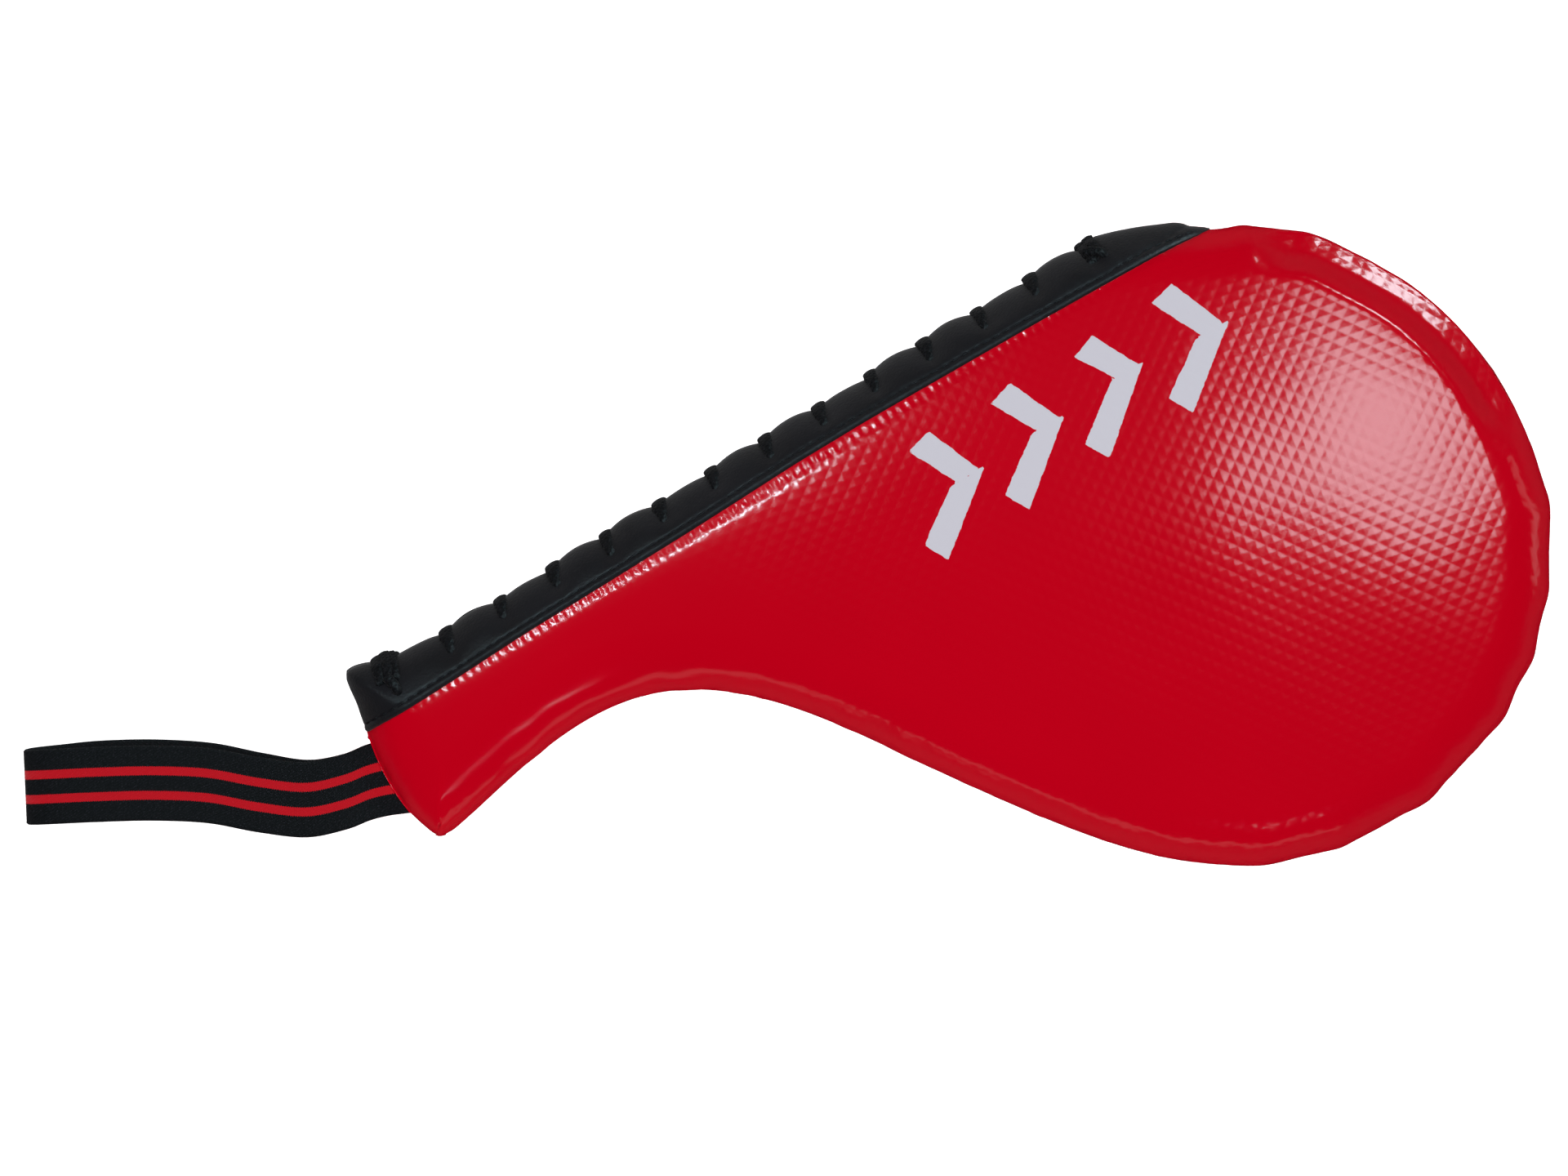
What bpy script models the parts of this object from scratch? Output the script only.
"""Single-leaf kick paddle: a laced vinyl cover over a foam and board core, with an elastic wrist loop.

Metres, +Z up. The paddle lies on its back: +X runs from the handle to the round head, +Y points to
the laced edge, and the origin is under the centre of the head, on the surface the paddle lies on.
"""
import math

import bmesh
import bpy
import numpy as np
from mathutils import Matrix, Vector

# Plan of the cover
HEAD_RADIUS = 0.105
LACE_ANGLE = math.radians(17.4)      # the straight laced edge against +X
LACE_OFFSET = 0.1093                 # from the head's centre to the laced edge of the body
LACE_START, LACE_END = -0.245, 0.004  # the straight stretch, measured along the edge
BUTT_CORNER = (-0.2705, 0.1145)      # along and across the laced edge
BUTT_SIDE = (-0.2915, 0.006)         # where the end of the handle bends most
TIP = (-0.2765, -0.0305)             # lower corner of the handle
GRIP_APEX = (-0.1995, -0.0016)       # deepest point of the finger hollow
FLANK = (-0.1067, -0.0529)
HEAD_LEAVES = math.radians(-114)     # the flank meets the head's circle here
HEAD_ENDS = math.radians(80.1)       # the laced edge meets it here

# Thickness of the filled cover, as half of it
HEAD_HALF = 0.020
HANDLE_HALF = 0.015
HANDLE_TO_HEAD = (-0.205, -0.085)    # x between which the thickness grows
HEAD_ROUNDING, HANDLE_ROUNDING = 0.027, 0.019
ROUND_POWER, LACED_POWER = 2.1, 1.4  # a full round rim, and the pinched laced edge
SEAM_HALF_GAP = 0.0008
STRAP_HALF_GAP = 0.0024              # the cover stands open here to let the strap out

VINYL = 0.0011
HEM = 0.0012                         # the folded black hem strip
GAP = 0.0003
HEM_LIFT = 0.0009                    # of the strip's inner side over the vinyl's outer side

HEM_WIDTH = 0.0131                   # of the strip, from the laced edge to the red vinyl
HEM_LAP = 0.0043                     # of the strip over the vinyl
HEM_TURN = 0.0015                    # taken up by the fold of the strip's inner side
HEM_ENDS = (0.003, 0.0465)           # of that side: from the handle's corner, and at the head
HEM_SHARES = (0, 0.07, 0.18, 0.34, 0.56, 0.78, 1.0)
HEM_STITCH_IN = 0.0025
HEM_STITCH_ENDS = (0.006, 0.0300)    # from the handle's corner, and along the edge at the head
THREAD = 0.0007

LACE_COUNT = 14
LACE_FIRST, LACE_PITCH = -0.2580, 0.02045
LACE_DIAMETER = 0.0024
HOLE_RADIUS = 0.0020
HOLE_IN = 0.0040                     # from the laced edge to a hole's centre
HOLE_UP, HOLE_DEPTH, HOLE_TILT = 0.0064, 0.008, 0.42
BACK_HOLE_SHIFT = 0.0022             # the holes behind sit this much nearer the head
KNOT_BUTT = {"ahead": -0.0052, "inwards": 0.0035, "up": 0.0126, "size": (0.0085, 0.0058, 0.0052)}
KNOT_HEAD = {"ahead": 0.0072, "inwards": 0.0030, "up": 0.0148, "size": (0.0070, 0.0050, 0.0046)}

BOARD_HALF = 0.0015
EVA = 0.0038
HEAD_FOAM_RADIUS = 0.0955
GRIP_FOAM_ENDS = -0.076
FOAM_CLEAR = 0.0019                  # between the foam's face and the inside of the cover
FOAM_APART = 0.0012                  # between the head's pad and the handle's
# How far each sheet stays inside the laced side, the rim and the handle's end
GRIP_FOAM_INSETS = (0.0150, 0.0072, 0.024)
EVA_INSETS = (0.0150, 0.0075, 0.024)
BOARD_INSETS = (0.0160, 0.0095, 0.026)

STRAP_WIDTH, STRAP_THICK = 0.0250, 0.0014
HINGE = (-0.2935, -0.0075)
STRAP_CLEAR = 0.0024                 # between the hinge line and the sewn-in ends
STRAP_SEWN = 0.0195                  # how far the sewn-in ends reach past the hinge line
STRAP_TURN = math.radians(-9.6)      # of the sewn-in ends, seen from above
STRAP_SHIFT = 0.002                  # of their middle from the hinge, towards the laced edge
PLY_GAP = 0.0001
BARTACK_IN, BARTACK_LENGTH, BARTACK_HALF, BARTACK_ROWS = 0.0120, 0.0036, 0.0100, 17

RIM_THREAD_OUT = 0.0006              # the thread of the rim seam lies just outside the outline

STATIONS = 20
HEM_STATIONS = 27
PANEL_RINGS = (0, 0.0012, 0.004, 0.0085, 0.015)  # how far inside the outline
GRIP_ROWS, GRIP_COLUMNS = 15, 8
HEAD_STEPS = 30
BUTT_STEPS = 6

along_edge = np.array([math.cos(LACE_ANGLE), math.sin(LACE_ANGLE)])
across_edge = np.array([-math.sin(LACE_ANGLE), math.cos(LACE_ANGLE)])


# --- plan curves ---------------------------------------------------------------------------

def edge_point(along, off):
    """A plan point given along and across the laced edge."""
    return along * along_edge + off * across_edge


def circle_point(angle, radius=HEAD_RADIUS):
    return radius * np.array([math.cos(angle), math.sin(angle)])


def bezier(start, handle_a, handle_b, end, steps=24):
    a, b, c, d = (np.array(p, float) for p in (start, handle_a, handle_b, end))
    t = np.linspace(0, 1, steps + 1)[:, None]
    return a * (1 - t) ** 3 + 3 * b * t * (1 - t) ** 2 + 3 * c * t * t * (1 - t) + d * t ** 3


def chain(*curves):
    """The curves one after the other, with each shared end point once."""
    return np.vstack([curves[0]] + [c[1:] for c in curves[1:]])


def resample(curve, count):
    """The same curve as count points spaced evenly along it."""
    steps = np.linalg.norm(np.diff(curve, axis=0), axis=1)
    run = np.concatenate([[0], np.cumsum(steps)])
    wanted = np.linspace(0, run[-1], count)
    return np.column_stack([np.interp(wanted, run, curve[:, k]) for k in range(curve.shape[1])])


def laced_side():
    """From the handle's end to the head, along the laced edge."""
    start = edge_point(*BUTT_CORNER)
    flare_end = edge_point(LACE_START, LACE_OFFSET)
    straight_end = edge_point(LACE_END, LACE_OFFSET)
    head = circle_point(HEAD_ENDS)
    tangent = np.array([-math.sin(HEAD_ENDS), math.cos(HEAD_ENDS)])
    flare = bezier(start, start + 0.008 * along_edge, flare_end - 0.012 * along_edge, flare_end)
    into_head = bezier(straight_end, straight_end + 0.012 * along_edge, head + 0.014 * tangent, head)
    return chain(flare, np.array([flare_end, straight_end]), into_head)


def under_side():
    """From the tip of the handle through the finger hollow and the flank to the head."""
    head = circle_point(HEAD_LEAVES)
    tangent = np.array([-math.sin(HEAD_LEAVES), math.cos(HEAD_LEAVES)])
    flank_way = np.array([0.787, -0.617])
    flank = np.array(FLANK)
    hollow = bezier(TIP, (-0.2655, -0.0300), (-0.2330, -0.0016), GRIP_APEX)
    shoulder = bezier(GRIP_APEX, (-0.1640, -0.0016), flank - 0.036 * flank_way, flank)
    run_in = bezier(flank, flank + 0.024 * flank_way, head - 0.024 * tangent, head)
    return chain(hollow, shoulder, run_in)


def head_arc(end=HEAD_ENDS, radius=HEAD_RADIUS):
    angles = np.linspace(HEAD_LEAVES, end, HEAD_STEPS + 1)
    return np.column_stack([radius * np.cos(angles), radius * np.sin(angles)])


def butt_side(top):
    """From the top corner of the handle's end down to the tip."""
    side = np.array(BUTT_SIDE)
    lower = bezier(side, side + (0.0012, -0.014), (-0.2850, -0.0240), TIP)
    return chain(bezier(top, top + (-0.0016, -0.008), side + (-0.0008, 0.008), side), lower)


body_outline = chain(
    laced_side(), head_arc()[::-1], under_side()[::-1], butt_side(edge_point(*BUTT_CORNER))[::-1]
)


def rim_distance(points):
    """How far each plan point is inside the body's outline."""
    start, end = body_outline[:-1], body_outline[1:]
    run = end - start
    length = np.maximum((run ** 2).sum(1), 1e-18)
    offset = points[:, None, :] - start[None]
    share = np.clip((offset * run[None]).sum(2) / length, 0, 1)
    nearest = start[None] + share[..., None] * run[None]
    return np.sqrt(((points[:, None, :] - nearest) ** 2).sum(2)).min(1)


def smooth(value, low, high):
    t = np.clip((value - low) / (high - low), 0, 1)
    return t * t * (3 - 2 * t)


def half_height(points, inset=0.0):
    """Half the thickness of the filled cover at each plan point, or of a body that lies inset in it."""
    points = np.asarray(points, float)
    to_head = smooth(points[:, 0], *HANDLE_TO_HEAD)
    half = HANDLE_HALF + (HEAD_HALF - HANDLE_HALF) * to_head - inset
    rounding = HANDLE_ROUNDING + (HEAD_ROUNDING - HANDLE_ROUNDING) * to_head - inset
    along, off = points @ along_edge, points @ across_edge
    laced = smooth(off, LACE_OFFSET - 0.028, LACE_OFFSET - 0.008) * (1 - smooth(along, 0.0, 0.045))
    power = ROUND_POWER + (LACED_POWER - ROUND_POWER) * laced
    left = 1 - np.clip((rim_distance(points) - inset) / rounding, 0, 1)
    height = half * (1 - left ** power) ** (1 / power)
    at_strap = smooth(-points[:, 0], 0.262, 0.280) * (1 - smooth(points[:, 1], 0.008, 0.014))
    return np.maximum(height, SEAM_HALF_GAP + (STRAP_HALF_GAP - SEAM_HALF_GAP) * at_strap)


# --- meshes --------------------------------------------------------------------------------

def material(name, colour, roughness):
    made = bpy.data.materials.get(name) or bpy.data.materials.new(name)
    made.use_nodes = True
    shader = made.node_tree.nodes["Principled BSDF"]
    shader.inputs["Base Color"].default_value = (*colour, 1)
    shader.inputs["Roughness"].default_value = roughness
    made.diffuse_color = (*colour, 1)
    return made


def add_object(name, points, faces, finish, parent, origin=(0, 0, HEAD_HALF)):
    """A mesh object with its origin at a given place; points are in world metres, less that place."""
    mesh = bpy.data.meshes.new(name)
    mesh.from_pydata([tuple(p) for p in points], [], faces)
    made = bpy.data.objects.new(name, mesh)
    bpy.context.scene.collection.objects.link(made)
    edit = bmesh.new()
    edit.from_mesh(mesh)
    bmesh.ops.remove_doubles(edit, verts=edit.verts, dist=1e-6)
    bmesh.ops.dissolve_degenerate(edit, edges=edit.edges, dist=1e-6)
    bmesh.ops.recalc_face_normals(edit, faces=edit.faces)
    edit.to_mesh(mesh)
    edit.free()
    made.location = origin
    made.parent = parent
    mesh.materials.append(material(*finish))
    mesh.shade_smooth()
    mesh.set_sharp_from_angle(angle=math.radians(40))
    return made


def facing_up(made, up):
    """Turns an open sheet's faces so that they look up, or down."""
    mesh = made.data
    total = sum(p.normal.z * p.area for p in mesh.polygons)
    if (total > 0) != up:
        mesh.flip_normals()


def thicken(made, thickness, outwards):
    solid = made.modifiers.new("thickness", "SOLIDIFY")
    solid.thickness = thickness
    solid.offset = 1 if outwards else -1
    solid.use_even_offset = False
    return solid


def ring_sheet(laced, under, arc, butt, levels):
    """Plan points and faces of a sheet inside a closed outline, in rings that end on its middle line."""
    middle = (laced + under) / 2
    middle[-1] = 0
    outline = np.vstack([laced, arc[::-1][1:], under[::-1][1:], butt[::-1][1:-1]])
    centre = np.vstack([
        middle,
        np.zeros((len(arc) - 1, 2)),
        middle[::-1][1:],
        np.tile(middle[0], (len(butt) - 2, 1)),
    ])
    reach = np.linalg.norm(centre - outline, axis=1)
    rings = [outline + (centre - outline) * np.minimum(d / reach, 0.85)[:, None] for d in levels]
    rings.append(rings[-1] * 0.5 + centre * 0.5)
    rings.append(centre)
    count = len(outline)
    faces = []
    for ring in range(len(rings) - 1):
        for i in range(count):
            j = (i + 1) % count
            faces.append((ring * count + i, ring * count + j, (ring + 1) * count + j, (ring + 1) * count + i))
    return np.vstack(rings), faces


def grid_faces(rows, columns):
    return [
        (r * columns + c, r * columns + c + 1, (r + 1) * columns + c + 1, (r + 1) * columns + c)
        for r in range(rows - 1)
        for c in range(columns - 1)
    ]


def panel(name, side, root):
    """One red face of the cover, from the rim seam to under the black hem."""
    off = LACE_OFFSET - HEM_WIDTH + HEM_LAP
    meets = math.acos(off / HEAD_RADIUS)
    head_end = math.pi / 2 + LACE_ANGLE - meets
    corner = edge_point(BUTT_CORNER[0] + 0.004, off)
    laced = resample(np.array([corner, circle_point(head_end)]), STATIONS + 1)
    under = resample(under_side(), STATIONS + 1)
    butt_curve = butt_side(edge_point(*BUTT_CORNER))
    below = butt_curve[butt_curve @ across_edge < off]
    butt = resample(np.vstack([corner, below]), BUTT_STEPS + 1)
    plan, faces = ring_sheet(laced, under, head_arc(head_end), butt, PANEL_RINGS)
    points = np.column_stack([plan, side * half_height(plan)])
    made = add_object(name, points, faces, RED, root)
    facing_up(made, side > 0)
    thicken(made, VINYL, outwards=False)
    return made


def hem_sheet(side):
    """Grid of the black strip: its outer row on the laced edge, its inner row on the red vinyl."""
    outer = resample(laced_side(), HEM_STATIONS)
    off = LACE_OFFSET - HEM_WIDTH - HEM_TURN
    inner_line = np.array([edge_point(BUTT_CORNER[0] + HEM_ENDS[0], off), edge_point(HEM_ENDS[1], off)])
    inner = resample(inner_line, HEM_STATIONS)
    plan = np.vstack([outer * (1 - s) + inner * s for s in HEM_SHARES])
    height = half_height(plan)
    return np.column_stack([plan, side * height]), grid_faces(len(HEM_SHARES), HEM_STATIONS)


def lifted(made, by):
    """Moves an open sheet's points out along their normals."""
    for vertex, normal in zip(made.data.vertices, [v.normal.copy() for v in made.data.vertices]):
        vertex.co += normal * by


def hem_strip(name, side, root, cutter):
    points, faces = hem_sheet(side)
    made = add_object(name, points, faces, BLACK, root)
    facing_up(made, side > 0)
    lifted(made, HEM_LIFT)
    thicken(made, HEM, outwards=True)
    cut = made.modifiers.new("lace_holes", "BOOLEAN")
    cut.object = cutter
    return made


def tube(name, route, diameter, finish, parent, sides=6, origin=(0, 0, HEAD_HALF)):
    """A round thread or cord along a route, as a closed mesh of rings of corners."""
    route = np.asarray(route, float)
    way = np.gradient(route, axis=0)
    way /= np.linalg.norm(way, axis=1)[:, None]
    up = np.array([0.0, 0.0, 1.0])
    if abs(way[0] @ up) > 0.9:
        up = np.array([1.0, 0.0, 0.0])
    points, faces = [], []
    for place, ahead in zip(route, way):
        up = up - (up @ ahead) * ahead
        up /= np.linalg.norm(up)
        side = np.cross(ahead, up)
        for k in range(sides):
            turn = 2 * math.pi * k / sides
            points.append(place + diameter / 2 * (math.cos(turn) * up + math.sin(turn) * side))
    for r in range(len(route) - 1):
        for k in range(sides):
            n = (k + 1) % sides
            faces.append((r * sides + k, r * sides + n, (r + 1) * sides + n, (r + 1) * sides + k))
    faces.append(tuple(range(sides)))
    faces.append(tuple(len(points) - sides + k for k in range(sides)))
    return add_object(name, points, faces, finish, parent, origin)


def plate(name, laced, under, arc, butt, low, high, finish, root):
    """A flat die-cut sheet between two heights."""
    outline = np.vstack([laced, arc[::-1][1:], under[::-1][1:], butt[::-1][1:-1]])
    count = len(outline)
    points = [(x, y, z) for z in (low, high) for x, y in outline]
    faces = [(i, (i + 1) % count, count + (i + 1) % count, count + i) for i in range(count)]
    faces += [tuple(range(count)), tuple(range(count, 2 * count))]
    return add_object(name, points, faces, finish, root)


def inset_plan(laced_inset, rim_inset, butt_inset):
    """The cover's plan drawn in from its laced side, its rim and its handle end."""
    butt_x = BUTT_SIDE[0] + butt_inset
    laced = resample(
        np.array([edge_point((butt_x + 0.02) / along_edge[0], LACE_OFFSET - laced_inset),
                  circle_point(HEAD_ENDS, HEAD_RADIUS - rim_inset)]), 10)
    curve = resample(under_side(), 60)
    way = np.gradient(curve, axis=0)
    way /= np.linalg.norm(way, axis=1)[:, None]
    inward = curve + rim_inset * np.column_stack([-way[:, 1], way[:, 0]])
    under = resample(inward[inward[:, 0] > butt_x], 16)
    arc = head_arc(radius=HEAD_RADIUS - rim_inset)
    arc[0] = under[-1]
    return laced, under, arc, resample(np.array([laced[0], under[0]]), 4)


def head_foam(name, side, low, root):
    """A round pad whose struck face is domed like the cover."""
    steps, radii = 36, (1.0, 0.95, 0.88, 0.76, 0.45)
    plan = np.vstack([
        [circle_point(2 * math.pi * k / steps, HEAD_FOAM_RADIUS * r) for k in range(steps)] for r in radii
    ])
    top = np.column_stack([plan, side * half_height(plan, VINYL + FOAM_CLEAR)])
    base = np.column_stack([plan[:steps], np.full(steps, side * low)])
    points = np.vstack([base, top, [[0, 0, side * (HEAD_HALF - VINYL - FOAM_CLEAR)]]])
    faces = [tuple(range(steps))]
    for ring in range(len(radii)):
        for i in range(steps):
            j = (i + 1) % steps
            faces.append((ring * steps + i, ring * steps + j, (ring + 1) * steps + j, (ring + 1) * steps + i))
    last = len(radii) * steps
    faces += [(last + i, last + (i + 1) % steps, len(points) - 1) for i in range(steps)]
    return add_object(name, points, faces, FOAM, root)


def grip_foam(name, side, low, root):
    """The pad of the handle, which ends in a hollow that fits round the head's pad."""
    laced, under = inset_plan(*GRIP_FOAM_INSETS)[:2]
    stop = HEAD_FOAM_RADIUS + FOAM_APART
    laced = resample(laced, 80)
    under = resample(under, 80)
    laced = resample(laced[laced[:, 0] < GRIP_FOAM_ENDS], GRIP_ROWS)
    under = resample(under[under[:, 0] < GRIP_FOAM_ENDS], GRIP_ROWS)
    shares = np.linspace(0, 1, GRIP_COLUMNS)
    plan = np.array([[u * (1 - s) + l * s for s in shares] for u, l in zip(under, laced)])
    end = plan[-1]
    to_circle = end * (stop / np.linalg.norm(end, axis=1))[:, None] - end
    plan += (np.linspace(0, 1, GRIP_ROWS) ** 2)[:, None, None] * to_circle[None]
    rows, columns = plan.shape[:2]
    plan = plan.reshape(-1, 2)
    top = np.column_stack([plan, side * half_height(plan, VINYL + FOAM_CLEAR)])
    base = np.column_stack([plan, np.full(len(plan), side * low)])
    count = len(plan)
    faces = grid_faces(rows, columns) + [tuple(count + v for v in f) for f in grid_faces(rows, columns)]
    border = (
        [r * columns for r in range(rows)]
        + [(rows - 1) * columns + c for c in range(1, columns)]
        + [r * columns + columns - 1 for r in range(rows - 2, -1, -1)]
        + [c for c in range(columns - 2, 0, -1)]
    )
    for i, j in zip(border, border[1:] + border[:1]):
        faces.append((i, j, count + j, count + i))
    return add_object(name, np.vstack([base, top]), faces, FOAM, root)


# --- lacing --------------------------------------------------------------------------------

def lace_route():
    """The cord whips over the edge at each hole and crosses inside to the next one."""
    over = (  # along, in from the edge, up: from inside the front, round the edge, to inside the back
        (-0.0002, 0.0062, 0.0026), (0.0000, HOLE_IN, HOLE_UP), (0.0004, 0.0012, 0.0088),
        (0.0009, -0.0030, 0.0048), (0.0012, -0.0040, 0.0000), (0.0015, -0.0030, -0.0048),
        (0.0018, 0.0012, -0.0088),
        (BACK_HOLE_SHIFT, HOLE_IN, -HOLE_UP), (0.0024, 0.0062, -0.0026),
    )
    inside = ((0.0080, 0.0086, -0.0009), (0.0145, 0.0086, 0.0009))
    route = []
    for k in range(LACE_COUNT):
        start = LACE_FIRST + k * LACE_PITCH
        steps = over + inside if k < LACE_COUNT - 1 else over
        for along, inwards, up in steps:
            x, y = edge_point(start + along, edge_off(start + along) - inwards)
            route.append((x, y, up))
    return route


def edge_off(along):
    """How far the laced edge is from the head's centre, which grows where the handle's end flares."""
    side = laced_side()
    return np.interp(along, side @ along_edge, side @ across_edge)


def hole_cutter(name, side, shift):
    """Short rods that cut the lace holes of one strip."""
    edit = bmesh.new()
    for k in range(LACE_COUNT):
        along = LACE_FIRST + k * LACE_PITCH + shift
        x, y = edge_point(along, edge_off(along) - HOLE_IN)
        axis = Vector((*(across_edge * HOLE_TILT), side)).normalized()
        turn = axis.to_track_quat("Z", "Y").to_matrix().to_4x4()
        place = Matrix.Translation((x, y, side * HOLE_UP)) @ turn
        bmesh.ops.create_cone(
            edit, cap_ends=True, segments=8, radius1=HOLE_RADIUS, radius2=HOLE_RADIUS,
            depth=HOLE_DEPTH, matrix=place
        )
    mesh = bpy.data.meshes.new(name)
    edit.to_mesh(mesh)
    edit.free()
    made = bpy.data.objects.new(name, mesh)
    bpy.context.scene.collection.objects.link(made)
    made.location = (0, 0, HEAD_HALF)
    made.hide_render = True
    made.display_type = "WIRE"
    return made


def knot(name, hole_along, place, root):
    """A pulled-tight stop knot beside a hole: turns of the cord that swell in the middle, as one lump."""
    along, size = hole_along + place["ahead"], place["size"]
    x, y = edge_point(along, edge_off(along) - place["inwards"])
    edit = bmesh.new()
    bmesh.ops.create_uvsphere(edit, u_segments=14, v_segments=9, radius=0.5)
    for v in edit.verts:
        turns = 1 + 0.10 * math.cos(6 * math.pi * v.co.z)
        v.co = Vector((v.co.x * turns * size[1], v.co.y * turns * size[2], v.co.z * size[0]))
    along_x = Matrix.Rotation(LACE_ANGLE, 4, "Z") @ Matrix.Rotation(math.pi / 2, 4, "Y")
    bmesh.ops.transform(edit, matrix=Matrix.Translation((x, y, place["up"])) @ along_x, verts=edit.verts)
    mesh = bpy.data.meshes.new(name)
    edit.to_mesh(mesh)
    edit.free()
    made = bpy.data.objects.new(name, mesh)
    bpy.context.scene.collection.objects.link(made)
    made.location = (0, 0, HEAD_HALF)
    made.parent = root
    mesh.materials.append(material(*CORD))
    mesh.shade_smooth()
    return made


# --- wrist strap ---------------------------------------------------------------------------

def strap_loop(name, finish, hinge):
    """The elastic loop: out along the upper ply, round the fold, back along the one that lies down."""
    low = STRAP_THICK / 2 + 0.0002 - HEAD_HALF
    route = np.array([  # x, y of the middle, and height from the cover's middle plane
        (-0.2958, -0.0077, 0.00095), (-0.3040, -0.0088, 0.0008), (-0.3170, -0.0083, -0.0008),
        (-0.3320, -0.0030, -0.0026), (-0.3480, 0.0040, -0.0040), (-0.3660, 0.0092, -0.0048),
        (-0.3840, 0.0131, -0.0056), (-0.3980, 0.0158, -0.0070), (-0.4055, 0.0172, -0.0098),
        (-0.4078, 0.0178, -0.0132), (-0.4055, 0.0178, -0.0168), (-0.3980, 0.0168, low + 0.0004),
        (-0.3840, 0.0148, low), (-0.3660, 0.0108, low), (-0.3480, 0.0052, low + 0.0010),
        (-0.3320, -0.0020, low + 0.0050), (-0.3170, -0.0078, low + 0.0110), (-0.3040, -0.0088, -0.0024),
        (-0.2958, -0.0077, -0.00095),
    ])
    fine = resample(chain(*[catmull(route, i) for i in range(len(route) - 1)]), 46)
    lean = np.interp(fine[:, 0], (-0.408, -0.366, -0.330, -0.296), (0.20, 0.24, 0.26, 0.17))
    across = np.column_stack([lean, np.ones(len(fine)), np.zeros(len(fine))])
    across /= np.linalg.norm(across, axis=1)[:, None]
    rows = [fine + across * STRAP_WIDTH * s for s in (-0.5, -0.17, 0.17, 0.5)]
    origin = np.array([*HINGE, HEAD_HALF])
    points = np.vstack(rows) - [*HINGE, 0]
    made = add_object(name, points, grid_faces(4, len(fine)), finish, None, origin)
    made.parent = hinge
    made.location = (0, 0, 0)
    solid = thicken(made, STRAP_THICK, outwards=True)
    solid.offset = 0
    return made


def catmull(points, index, steps=6):
    """One span of the smooth curve through the points."""
    before, start = points[max(index - 1, 0)], points[index]
    end, after = points[index + 1], points[min(index + 2, len(points) - 1)]
    t = np.linspace(0, 1, steps + 1)[:, None]
    return 0.5 * (2 * start + (end - before) * t + (2 * before - 5 * start + 4 * end - after) * t ** 2
                  + (3 * start - before - 3 * end + after) * t ** 3)


def strap_root(name, finish, root):
    """The sewn-in ends of the strap: both plies, folded together between the faces of the cover."""
    inner, outer = HINGE[0] + STRAP_SEWN, HINGE[0] + STRAP_CLEAR
    half = STRAP_THICK + PLY_GAP
    edit = bmesh.new()
    bmesh.ops.create_cube(edit, size=1)
    bmesh.ops.scale(edit, vec=(inner - outer, STRAP_WIDTH, 2 * half), verts=edit.verts)
    turn = Matrix.Rotation(STRAP_TURN, 4, "Z")
    place = Matrix.Translation(((inner + outer) / 2, HINGE[1] + STRAP_SHIFT, 0))
    bmesh.ops.transform(edit, matrix=place @ turn, verts=edit.verts)
    mesh = bpy.data.meshes.new(name)
    edit.to_mesh(mesh)
    edit.free()
    made = bpy.data.objects.new(name, mesh)
    bpy.context.scene.collection.objects.link(made)
    made.location = (0, 0, HEAD_HALF)
    made.parent = root
    mesh.materials.append(material(*finish))
    return made


def bartack_route():
    """Zigzag of the thread that locks the strap's ends, seen from above."""
    route = []
    for k in range(BARTACK_ROWS):
        x = (k % 2 - 0.5) * BARTACK_LENGTH
        y = (2 * k / (BARTACK_ROWS - 1) - 1) * BARTACK_HALF
        route.append((HINGE[0] + BARTACK_IN + x * math.cos(STRAP_TURN) - y * math.sin(STRAP_TURN),
                      HINGE[1] + STRAP_SHIFT + x * math.sin(STRAP_TURN) + y * math.cos(STRAP_TURN),
                      STRAP_THICK + PLY_GAP + GAP + THREAD / 2))
    return route


def surface_route(plan, side, lift):
    """A thread's route that lies on the cover, lifted along its normal."""
    step = 0.0004
    height = half_height(plan)
    slope = [(half_height(plan + d) - half_height(plan - d)) / (2 * step) for d in (
        np.array([step, 0]), np.array([0, step]))]
    normal = np.column_stack([-slope[0], -slope[1], np.ones(len(plan))])
    normal /= np.linalg.norm(normal, axis=1)[:, None]
    points = np.column_stack([plan, height]) + lift * normal
    return points * (1, 1, side)


# --- assembly ------------------------------------------------------------------------------

RED = ("embossed_red_vinyl", (0.52, 0.0, 0.008), 0.22)
BLACK = ("black_leatherette", (0.012, 0.012, 0.015), 0.5)
CORD = ("black_braided_cord", (0.010, 0.010, 0.011), 0.8)
THREAD_BLACK = ("black_thread", (0.008, 0.008, 0.009), 0.7)
THREAD_RED = ("red_thread", (0.35, 0.0, 0.006), 0.7)
ELASTIC = ("black_elastic_webbing", (0.015, 0.014, 0.015), 0.85)
FOAM = ("grey_foam", (0.35, 0.35, 0.36), 0.9)
EVA_SHEET = ("white_eva", (0.75, 0.75, 0.72), 0.8)
BOARD = ("fibre_board", (0.32, 0.20, 0.10), 0.7)


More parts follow.
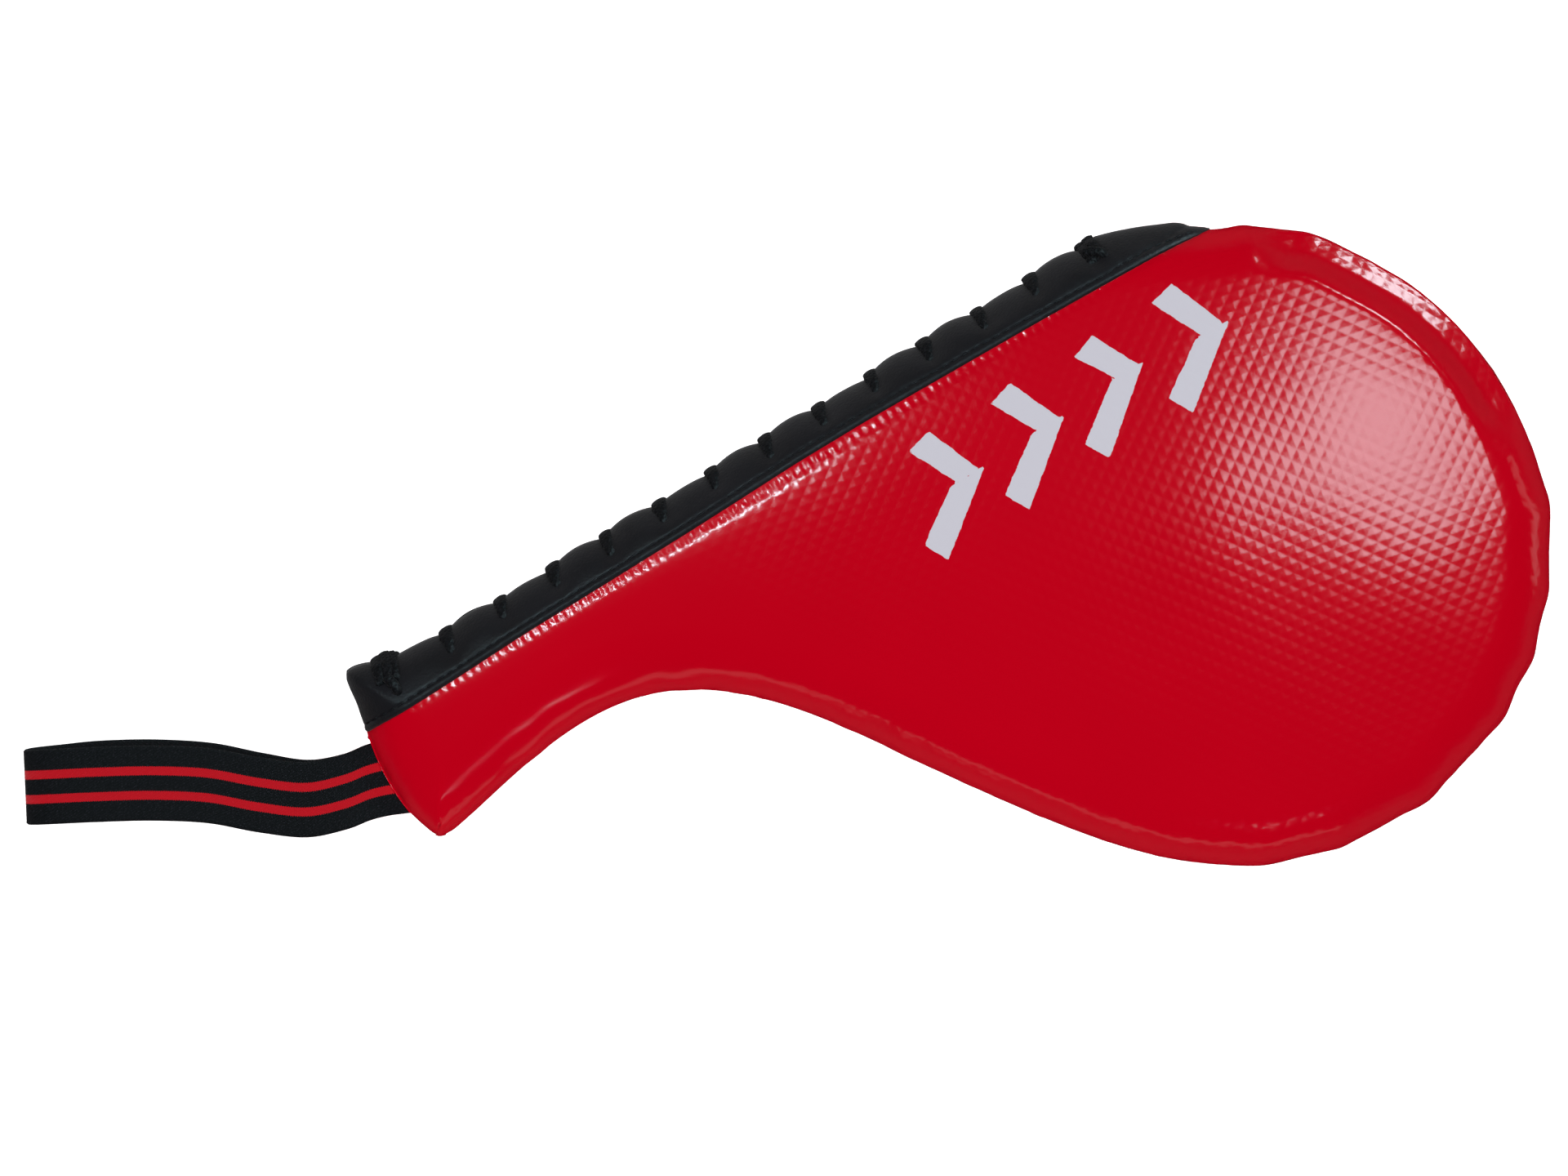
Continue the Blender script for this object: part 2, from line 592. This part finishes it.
def build():
    for old in list(bpy.data.objects):
        bpy.data.objects.remove(old)
    root = bpy.data.objects.new("paddle", None)
    hinge = bpy.data.objects.new("strap_hinge", None)
    for empty in (root, hinge):
        bpy.context.scene.collection.objects.link(empty)
    hinge.location = (*HINGE, HEAD_HALF)

    for face, side, shift in (("front", 1, 0.0), ("back", -1, BACK_HOLE_SHIFT)):
        panel(f"{face}_panel", side, root)
        cutter = hole_cutter(f"{face}_hole_cutter", side, shift)
        hem_strip(f"{face}_lacing_strip", side, root, cutter)
        hem_line = np.linspace(BUTT_CORNER[0] + HEM_STITCH_ENDS[0], HEM_STITCH_ENDS[1], 46)
        sewn_off = LACE_OFFSET - HEM_WIDTH - HEM_TURN + HEM_STITCH_IN
        plan = np.array([edge_point(a, sewn_off) for a in hem_line])
        lift = HEM_LIFT + HEM + GAP + THREAD / 2
        tube(f"{face}_hem_stitch", surface_route(plan, side, lift), THREAD, THREAD_BLACK, root, sides=5)
        low = BOARD_HALF + GAP
        plate(f"{face}_eva_sheet", *inset_plan(*EVA_INSETS), *sorted((side * low, side * (low + EVA))),
              EVA_SHEET, root)
        head_foam(f"{face}_head_foam", side, low + EVA + GAP, root)
        grip_foam(f"{face}_grip_foam", side, low + EVA + GAP, root)

    plate("core_board", *inset_plan(*BOARD_INSETS), -BOARD_HALF, BOARD_HALF, BOARD, root)
    tube("lacing_cord", lace_route(), LACE_DIAMETER, CORD, root)
    knot("lacing_knot_butt", LACE_FIRST, KNOT_BUTT, root)
    knot("lacing_knot_head", LACE_FIRST + (LACE_COUNT - 1) * LACE_PITCH, KNOT_HEAD, root)

    rim = chain(head_arc(HEAD_ENDS - 0.04)[::-1], under_side()[::-1])
    butt = butt_side(edge_point(*BUTT_CORNER))
    rim = resample(chain(rim, butt[::-1][:6]), 90)
    way = np.gradient(rim, axis=0)
    way /= np.linalg.norm(way, axis=1)[:, None]
    inner = rim + RIM_THREAD_OUT * np.column_stack([way[:, 1], -way[:, 0]])
    tube("rim_seam_stitch", np.column_stack([inner, np.zeros(len(inner))]), THREAD, THREAD_RED, root, sides=5)

    strap_loop("wrist_strap", ELASTIC, hinge)
    strap_root("strap_root", ELASTIC, root)
    tube("strap_bartack", bartack_route(), THREAD, THREAD_BLACK, root, sides=5)


build()
